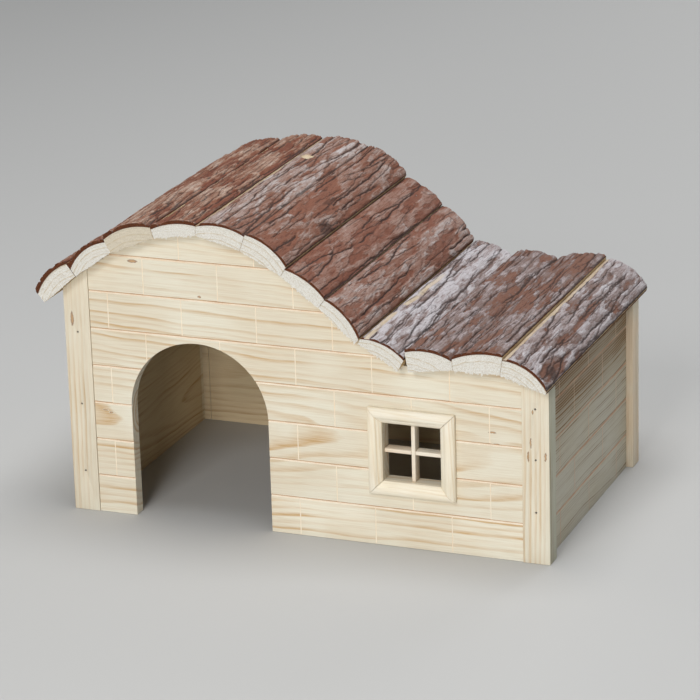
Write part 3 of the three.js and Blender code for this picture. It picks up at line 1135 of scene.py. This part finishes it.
@dataclass
class Roof:
    """The slats side by side, each with its bark and the two brads that hold it down."""

    shop: Workshop
    start: tuple[float, float] = (-13.4, 211.2)
    front: float = -13.5
    back: float = 301.0
    gap: float = 0.3
    across_step: float = 0.7
    along_step: float = 1.25
    torn_edge: float = 0.5  # how far the bark's long edges are torn back
    brad_lines: tuple[float, float] = (7.5, 272.5)  # from the posts' front face
    brad_radius: float = 0.8
    brad_bite: float = 14.0  # how deep a brad goes into its panel
    least_relief: float = 0.14
    most_relief: float = 0.98
    bare_relief: float = 0.06

    def lay(self) -> list[tuple[float, float]]:
        """Gives each slat's lower left corner."""
        corners = []
        x, z = self.start
        for number, slat in enumerate(SLATS):
            if number:
                x, z = x + slat.step[0], z + slat.step[1]
            corners.append((x, z))
            x += slat.width * math.cos(math.radians(slat.tilt))
            z += slat.width * math.sin(math.radians(slat.tilt))
        return corners

    @staticmethod
    def leans(number: int) -> tuple[float, float]:
        """Gives how far a slat's left and right sides lean outwards for each millimetre of height.

        Args:
            number: The slat's number, from 0.

        Returns:
            The left side's lean and the right side's.
        """
        tilts = [slat.tilt for slat in SLATS]
        before = tilts[number - 1] if number else tilts[0]
        after = tilts[number + 1] if number + 1 < len(tilts) else tilts[-1]
        bends = (before - tilts[number], tilts[number] - after)
        return tuple(max(0.0, math.tan(math.radians(bend / 2))) for bend in bends)

    def across(self, number: int, share: Places, height: Places) -> Places:
        """Gives the place at a share of the way from a slat's left side to its right, at a height."""
        left, right = self.leans(number)
        return share * (SLATS[number].width + right * height) - (1 - share) * left * height

    def crown_circle(self, number: int) -> tuple[float, float, float]:
        """Finds the circle through the tops of a slat's left side, middle and right side.

        Args:
            number: The slat's number, from 0.

        Returns:
            The centre's place across the slat, its height and the radius.
        """
        heights = SLATS[number].heights
        a, b, c = (complex(self.across(number, i / 2, height), height) for i, height in enumerate(heights))
        w = (c - a) / (b - a)
        centre = (b - a) * (w - abs(w) ** 2) / (2j * w.imag) + a
        return centre.real, centre.imag, abs(a - centre)

    def crown(self, number: int, share: np.ndarray, offset: Places) -> tuple[np.ndarray, np.ndarray]:
        """Finds places on a slat's crown.

        Args:
            number: The slat's number, from 0.
            share: How far each place is from the left side to the right, 0 to 1.
            offset: How far it is outside the wood's crown.

        Returns:
            The places across the slat and their heights above its underside.
        """
        centre_s, centre_h, radius = self.crown_circle(number)
        height = np.full(share.shape, SLATS[number].heights[1])
        for _ in range(CROWN_PASSES):
            place = self.across(number, share, height)
            height = centre_h + np.sqrt((radius + offset) ** 2 - (place - centre_s) ** 2)
        return place, height

    def place(self, number: int, across: np.ndarray, along: np.ndarray, height: np.ndarray) -> np.ndarray:
        """Turns places on a slat into the frame's metres.

        Args:
            number: The slat's number, from 0.
            across: Places across the slat.
            along: Places along the slat.
            height: Heights above its underside.

        Returns:
            The points.
        """
        x, z = self.lay()[number]
        tilt = math.radians(SLATS[number].tilt)
        points = np.stack(
            [
                x + across * math.cos(tilt) - height * math.sin(tilt),
                along,
                z + across * math.sin(tilt) + height * math.cos(tilt),
            ],
            axis=1,
        )
        return self.shop.to_frame(points)

    def log_places(
        self, number: int, across: np.ndarray, along: np.ndarray, height: np.ndarray
    ) -> np.ndarray:
        """Places measured from the middle of the log that a slat was sawn from."""
        slat = SLATS[number]
        centre_s, centre_h, _ = self.crown_circle(number)
        shift_s, shift_h = slat.ring_shift
        shifted = [across - centre_s - shift_s, along + LOG_STEP * number, height - centre_h - shift_h]
        return np.stack(shifted, axis=1)

    @staticmethod
    def cracks(
        number: int, across: np.ndarray, along: np.ndarray, spacing: float, width: float
    ) -> tuple[np.ndarray, np.ndarray]:
        """Runs wandering cracks along a slat's bark.

        Args:
            number: The slat's number, which also picks the pattern.
            across: Places across the slat.
            along: Places along the slat.
            spacing: About how far apart the cracks are.
            width: How wide they gape.

        Returns:
            Two sets of numbers from 0 to 1: how deep in a crack each place is, and how near to one.
        """
        inside = np.zeros(across.shape)
        beside = np.zeros(across.shape)
        for line in range(-1, round(50 / spacing) + 2):
            key = 37 * number + 1009 * line
            start, drift = (float(scatter(np.array([line]), np.array([k]), key)[0]) for k in (1, 2))
            centre = spacing * (line + start) + 0.12 * (drift - 0.5) * (along - 140)
            for reach, length in ((7.0, 60), (2.2, 15), (0.9, 4)):
                centre = centre + reach * (soft_noise(along / length, across * 0 + line, key + length) - 0.5)
            open_part = ease(0.36, 0.56, rough_noise(along / 55, across * 0 + line, key + 5, 3))
            gape = width * (0.25 + 0.75 * rough_noise(along / 11, across * 0 + line, key + 6, 2))
            distance = np.abs(across - centre)
            inside = np.maximum(inside, open_part * ease(gape + 0.55, 0.4 * gape, distance))
            beside = np.maximum(beside, open_part * ease(4.0, 0.0, distance))
        return inside, beside

    @staticmethod
    def bareness(slat: Slat, seed: int, across: np.ndarray, along: np.ndarray, jag: np.ndarray) -> np.ndarray:
        """Finds where a slat has lost its bark down to the wood.

        Args:
            slat: The slat.
            seed: Picks the pattern.
            across: Places across the slat.
            along: Places along the slat.
            jag: Quick noise about 0.

        Returns:
            0 where there is bark, up to 1 where there is none.
        """
        bare = np.zeros(across.shape)
        if slat.bare_left:
            rim = slat.bare_left * (0.8 + 0.5 * (rough_noise(across * 0, along / 22, seed + 9, 3) - 0.5))
            rim = rim + 0.9 * (rough_noise(across * 0, along / 3, seed + 10, 2) - 0.5)
            bare = 0.72 * ease(0.6, -0.2, across - rim)
        if slat.bare_lane:
            lane = slat.bare_lane + 7 * (rough_noise(across * 0, along / 60, seed + 9, 2) - 0.5)
            broken = ease(0.42, 0.52, rough_noise(across * 0, along / 26, seed + 10, 3))
            broken = broken * ease(210, 150, along)
            bare = broken * ease(2.6, 1.8, np.abs(across - lane) + 1.5 * jag) * 0.75
        if slat.bare_spot:
            bare = np.maximum(bare, slat.bare_spot.mask(across, along, jag, jag))
        return bare

    def grow(self, number: int, across: np.ndarray, along: np.ndarray) -> tuple[np.ndarray, np.ndarray]:
        """Grows a slat's bark.

        Args:
            number: The slat's number, from 0.
            across: Places across the slat.
            along: Places along the slat.

        Returns:
            The bark's thickness as a share of its full one, and four numbers for its colours:
            tone, relief, distance from a crack or a plate's ledge, where low values paint shade, and
            bareness.
        """
        slat = SLATS[number]
        growth = GROWTH[slat.character]
        seed = 101 * (number + 1)
        # plates, with small ones on the large ones
        wave = rough_noise(across / 18, along / 60, seed, 3) - 0.5
        jag = rough_noise(across / 3.2, along / 6, seed + 1, 3) - 0.5
        drift = rough_noise(across / 8, along / 20, seed + 2, 3) - 0.5
        u = across / growth.plate_width + 1.6 * wave + 0.35 * jag
        v = along / growth.plate_length + 1.0 * drift + 0.12 * jag
        inside, tone, reach = cells(u, v, seed + 3)
        inside_fine, tone_fine, reach_fine = cells(u * 2.1 + 0.6 * jag, v * 2.3, seed + 5)
        edge = ease(0.0, 0.12, inside)
        edge_fine = ease(0.0, 0.16, inside_fine)
        # cracks, and patches where the outer bark has come off
        long_crack, slump = self.cracks(number, across, along, growth.crack_spacing, 1.0)
        hair_crack, _ = self.cracks(number + 40, across, along, growth.crack_spacing * 0.5, 0.55)
        loose = rough_noise(across / 8, along / 42, seed + 20, 5)
        peeled = ease(growth.peel, growth.peel + 0.035, loose + 0.12 * (tone - 0.5))
        # relief
        steps = growth.steps
        fine = rough_noise(across / 1.5, along / 7, seed + 8, 3) - 0.5
        relief = 1 - 0.7 * steps * (1 - tone) - 0.25 * steps * (1 - tone_fine) - 0.3 * peeled
        relief = relief + steps * (0.4 * reach + 0.15 * reach_fine) - 0.12 * (1 - edge) * tone - 0.2 * slump
        relief = relief - growth.furrow * long_crack - 0.5 * growth.furrow * hair_crack + 0.1 * fine
        relief = relief + 0.3 * ease(self.front + 7, self.front, along)
        # colours
        # painted shadow beside the raised plates' edges, added to the cracks' partly painted shade
        ledge_shade = (1 - edge) * ease(0.45, 0.8, tone) + 0.5 * (1 - edge_fine) * ease(0.5, 0.9, tone_fine)
        gap = 1 - np.maximum(np.maximum(long_crack, 0.75 * hair_crack), 0.55 * np.minimum(ledge_shade, 1))
        tone = 0.6 * tone + 0.4 * tone_fine + slat.age + 0.35 - 1.3 * peeled
        # knots, tears, sides and bare wood
        torn = np.zeros(across.shape)
        for patch in slat.torn:
            torn = np.maximum(torn, patch.mask(across, along, wave, jag))
        relief = relief - 0.35 * torn
        tone = tone - 1.6 * torn
        if slat.knot:
            knot = slat.knot.mask(across, along, wave, jag)
            relief = relief * (1 - 0.35 * knot) + knot * 0.2 * np.sin(9 * tone)
            gap = gap * (1 - 0.55 * knot)
        side = np.minimum(across, slat.width - across)
        relief = relief - 0.5 * ease(2.4, 0.0, side)
        # painted shade along the slat's long sides, where it meets its neighbours
        gap = gap * (1 - 0.8 * ease(1.5, 0.4, side))
        relief = np.clip(relief, self.least_relief, self.most_relief)
        bare = self.bareness(slat, seed, across, along, jag)
        relief = relief * (1 - bare) + self.bare_relief * bare
        gap = gap * (1 - bare) + bare
        return relief, np.stack([tone, relief, gap, bare], axis=1)

    def bark_piece(self, number: int, finishes: list[bpy.types.Material]) -> None:
        """Makes a slat's bark: a sheet bent over the crown, thick at its plates and thin at its cracks.

        Args:
            number: The slat's number, from 0.
            finishes: The bark's outer finish and its cut edge's.
        """
        slat = SLATS[number]
        bm = bmesh.new()
        length = self.back - self.front
        columns, rows = round(slat.width / self.across_step), round(length / self.along_step)
        bmesh.ops.create_grid(bm, x_segments=columns, y_segments=rows, size=0.5)
        bmesh.ops.solidify(bm, geom=bm.faces, thickness=1.0)
        flat = np.array([v.co for v in bm.verts])
        outer = flat[:, 2] > flat[:, 2].mean()
        along = self.front + (flat[:, 1] + 0.5) * length
        share = flat[:, 0] + 0.5
        lean = 2 * share - 1
        torn = self.torn_edge * rough_noise(along / 5, lean * 0, 31 + number, 3) * np.abs(lean) ** 8
        share = share - np.sign(lean) * torn / slat.width
        relief, growth = self.grow(number, share * slat.width, along)
        offset = self.gap + np.where(outer, slat.bark * relief, 0.0)
        across, height = self.crown(number, share, offset)
        points = self.place(number, across, along, height)
        for vert, point in zip(bm.verts, points):
            vert.co = point
        bmesh.ops.recalc_face_normals(bm, faces=bm.faces)
        for face in bm.faces:
            layers = {bool(outer[v.index]) for v in face.verts}
            face.material_index = 1 if len(layers) == 2 else 0
        name = f"{number + 1:02d}"
        nodes = ("roof_bark_" + name,)
        piece = self.shop.publish(bm, "bark_sheet_" + name, finishes, "bark", nodes, sharp=75)
        self.write(piece.data, "log", self.log_places(number, across, along, height))
        self.write(piece.data, "growth", growth)

    @staticmethod
    def write(mesh: bpy.types.Mesh, name: str, values: np.ndarray) -> None:
        """Keeps numbers on a mesh's points: a place as a vector, or four numbers as a colour."""
        colour = values.shape[1] == 4
        made = mesh.attributes.new(name, "FLOAT_COLOR" if colour else "FLOAT_VECTOR", "POINT")
        made.data.foreach_set("color" if colour else "vector", values.astype(np.float32).ravel())

    def wood_piece(self, number: int, finishes: list[bpy.types.Material]) -> None:
        """Makes a slat's wood, with rough-sawn ends and torn fibres along their lower edges.

        Args:
            number: The slat's number, from 0.
            finishes: The long faces' finish, the ends' and a dark one painted as shade on a right side.
        """
        slat = SLATS[number]
        bm = bmesh.new()
        bmesh.ops.create_grid(bm, x_segments=60, y_segments=10, size=0.5)
        bmesh.ops.solidify(bm, geom=bm.faces, thickness=1.0)
        deepest = min(v.co.z for v in bm.verts)
        for cut in WOOD_CUTS:
            geometry = bm.verts[:] + bm.edges[:] + bm.faces[:]
            bmesh.ops.bisect_plane(bm, geom=geometry, plane_co=(0, 0, deepest + cut), plane_no=(0, 0, 1))
        flat = np.array([v.co for v in bm.verts])
        share = flat[:, 2] - deepest
        sideways = flat[:, 0] + 0.5
        rise = flat[:, 1] + 0.5
        end = np.minimum(share, 1 - share)
        is_end = end < 1e-4
        seed = 57 * (number + 1)
        spikes = rough_noise(sideways * slat.width / 1.1, share * 3, seed, 2) ** 3
        hang = slat.ragged * spikes * ease(0.009, 0.0, end) * 3
        low = -hang * (1 - rise) ** 4
        _, top = self.crown(number, sideways, 0.0)
        height = low + rise * (top - low)
        across = self.across(number, sideways, height)
        pit = 0.55 * rough_noise(across / 1.7, height / 1.7 + 9, seed + 4, 3) * is_end
        inset = 0.5 * scatter(np.array([number]), np.array([3]), 5)[0]
        front, back = self.front + inset, self.back - inset
        along = front + share * (back - front) + np.where(share < 0.5, pit, -pit)
        points = self.place(number, across, along, height)
        for vert, point in zip(bm.verts, points):
            vert.co = point
        bmesh.ops.recalc_face_normals(bm, faces=bm.faces)
        for face in bm.faces:
            face.material_index = 1 if all(is_end[v.index] for v in face.verts) else 0
            # painted shade: the right side takes the dark bark-cut finish
            if slat.shaded_right_side and all(sideways[v.index] > 0.999 for v in face.verts):
                face.material_index = 2
        name = f"{number + 1:02d}"
        piece = self.shop.publish(bm, "slat_" + name, finishes, "slat_wood", ("roof_slat_" + name,), sharp=50)
        self.write(piece.data, "log", self.log_places(number, across, along, height))

    def brads(self, number: int) -> None:
        """Drives two brads through a slat, one into the front panel and one into the back.

        Args:
            number: The slat's number, from 0.
        """
        slat = SLATS[number]
        tilt = math.radians(slat.tilt)
        middle, top = self.crown(number, np.array([0.5]), self.gap + 0.55 * slat.bark)
        for end, line in zip(("front", "back"), self.brad_lines):
            length = top[0] + self.brad_bite
            radius = self.brad_radius * MM
            bm = bmesh.new()
            bmesh.ops.create_cone(
                bm, cap_ends=True, segments=14, radius1=radius, radius2=radius, depth=length * MM
            )
            rim = [e for e in bm.edges if all(v.co.z > 0 for v in e.verts)]
            bmesh.ops.bevel(
                bm, geom=rim, offset=0.25 * MM, segments=2, profile=0.5, affect="EDGES", material=-1
            )
            tip = self.place(number, middle, np.array([line]), top)[0]
            bmesh.ops.translate(bm, verts=bm.verts, vec=(0, 0, -length * MM / 2))
            bmesh.ops.rotate(bm, verts=bm.verts, cent=(0, 0, 0), matrix=Matrix.Rotation(-tilt, 3, "Y"))
            bmesh.ops.translate(bm, verts=bm.verts, vec=tip)
            name = f"roof_brad_{end}_{number + 1:02d}"
            self.shop.publish(bm, name, [self.shop.brad_finish], "brad_steel")

    def build(self) -> None:
        """Makes every slat, its bark and its brads."""
        outer = {character: finish.build() for character, finish in BARKS.items()}
        cut = BarkCut().build()
        face, end = SawnFace().build(), SawnEnd().build()
        for number, slat in enumerate(SLATS):
            self.wood_piece(number, [face, end, cut])
            self.bark_piece(number, [outer[slat.character], cut])
            self.brads(number)


@dataclass(frozen=True)
class Lamp:
    """A soft square lamp that faces the house, in metres and watts."""

    name: str
    place: tuple[float, float, float]
    size: float
    power: float
    colour: Colour
    aim: tuple[float, float, float] = (0.0, 0.0, 0.12)

    def hang(self) -> None:
        """Hangs the lamp."""
        light = bpy.data.lights.new(self.name, "AREA")
        light.shape, light.size, light.energy, light.color = "SQUARE", self.size, self.power, self.colour
        lamp = bpy.data.objects.new(self.name, light)
        lamp.location = self.place
        lamp.rotation_euler = (Vector(self.aim) - Vector(self.place)).to_track_quat("-Z", "Y").to_euler()
        bpy.context.scene.collection.objects.link(lamp)


LAMPS = (
    Lamp("key", (-0.05, -2.9, 2.0), 1.0, 37, (1.0, 0.99, 0.98)),
    Lamp("low", (0.38, -2.9, 0.8), 0.6, 26, (1.0, 0.985, 0.965)),
    Lamp("top", (0.15, 0.05, 3.0), 1.8, 60, (0.98, 0.985, 1.0)),
    Lamp("rear", (0.6, 3.0, 1.4), 1.6, 24, (0.98, 0.985, 1.0)),
)


@dataclass
class Studio:
    """Floor, lights and camera."""

    azimuth: float = 21.944
    elevation: float = 18.892
    roll: float = -1.734
    lens: float = 169.72
    aim: tuple[float, float, float] = (0.0004, 0.0021, 0.1353)
    distance: float = 3.1814
    sky: Colour = (0.86, 0.88, 0.9)
    sky_strength: float = 0.25
    floor_drop: float = 0.2  # how far the floor lies under the house, in millimetres

    def floor(self) -> None:
        """Lays a plain pale floor."""
        bm = bmesh.new()
        bmesh.ops.create_grid(bm, x_segments=2, y_segments=2, size=14)
        bmesh.ops.translate(bm, verts=bm.verts, vec=(0, 0, -self.floor_drop * MM))
        mesh = bpy.data.meshes.new("studio_floor")
        bm.to_mesh(mesh)
        bm.free()
        mesh.materials.append(StudioFloor().build())
        floor = bpy.data.objects.new("studio_floor", mesh)
        bpy.context.scene.collection.objects.link(floor)

    def lights(self) -> None:
        """Hangs the lamps and sets the surrounding light."""
        for lamp in LAMPS:
            lamp.hang()
        world = bpy.data.worlds.new("studio")
        world.use_nodes = True
        background = world.node_tree.nodes["Background"]
        background.inputs["Color"].default_value = (*self.sky, 1)
        background.inputs["Strength"].default_value = self.sky_strength
        bpy.context.scene.world = world

    def camera(self) -> None:
        """Sets up the camera: a long lens, from the right of the front and a little above."""
        a, e, r = (math.radians(x) for x in (self.azimuth, self.elevation, self.roll))
        back = Vector((math.sin(a) * math.cos(e), -math.cos(a) * math.cos(e), math.sin(e)))
        level = Vector((math.cos(a), math.sin(a), 0))
        upright = back.cross(level)
        right = math.cos(r) * level + math.sin(r) * upright
        up = -math.sin(r) * level + math.cos(r) * upright
        data = bpy.data.cameras.new("camera")
        data.lens, data.sensor_width = self.lens, 36
        data.clip_start, data.clip_end = 0.05, 60
        camera = bpy.data.objects.new("camera", data)
        turn = Matrix((right, up, back)).transposed().to_4x4()
        camera.matrix_world = Matrix.Translation(Vector(self.aim) + back * self.distance) @ turn
        bpy.context.scene.collection.objects.link(camera)
        bpy.context.scene.camera = camera

    def build(self) -> None:
        """Sets up the whole studio."""
        self.floor()
        self.lights()
        self.camera()
        scene = bpy.context.scene
        scene.view_settings.view_transform = "Standard"
        scene.view_settings.look = "None"


def main() -> None:
    """Builds the house's looks in order."""
    logging.basicConfig(level=logging.INFO, format="%(name)s: %(message)s")
    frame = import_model()
    Studio().build()
    shop = Workshop(frame)
    for assembly in (Walls(shop), Posts(shop), Window(shop), Roof(shop)):
        LOG.info("building %s", type(assembly).__name__)
        assembly.build()


if __name__ == "__main__":
    main()
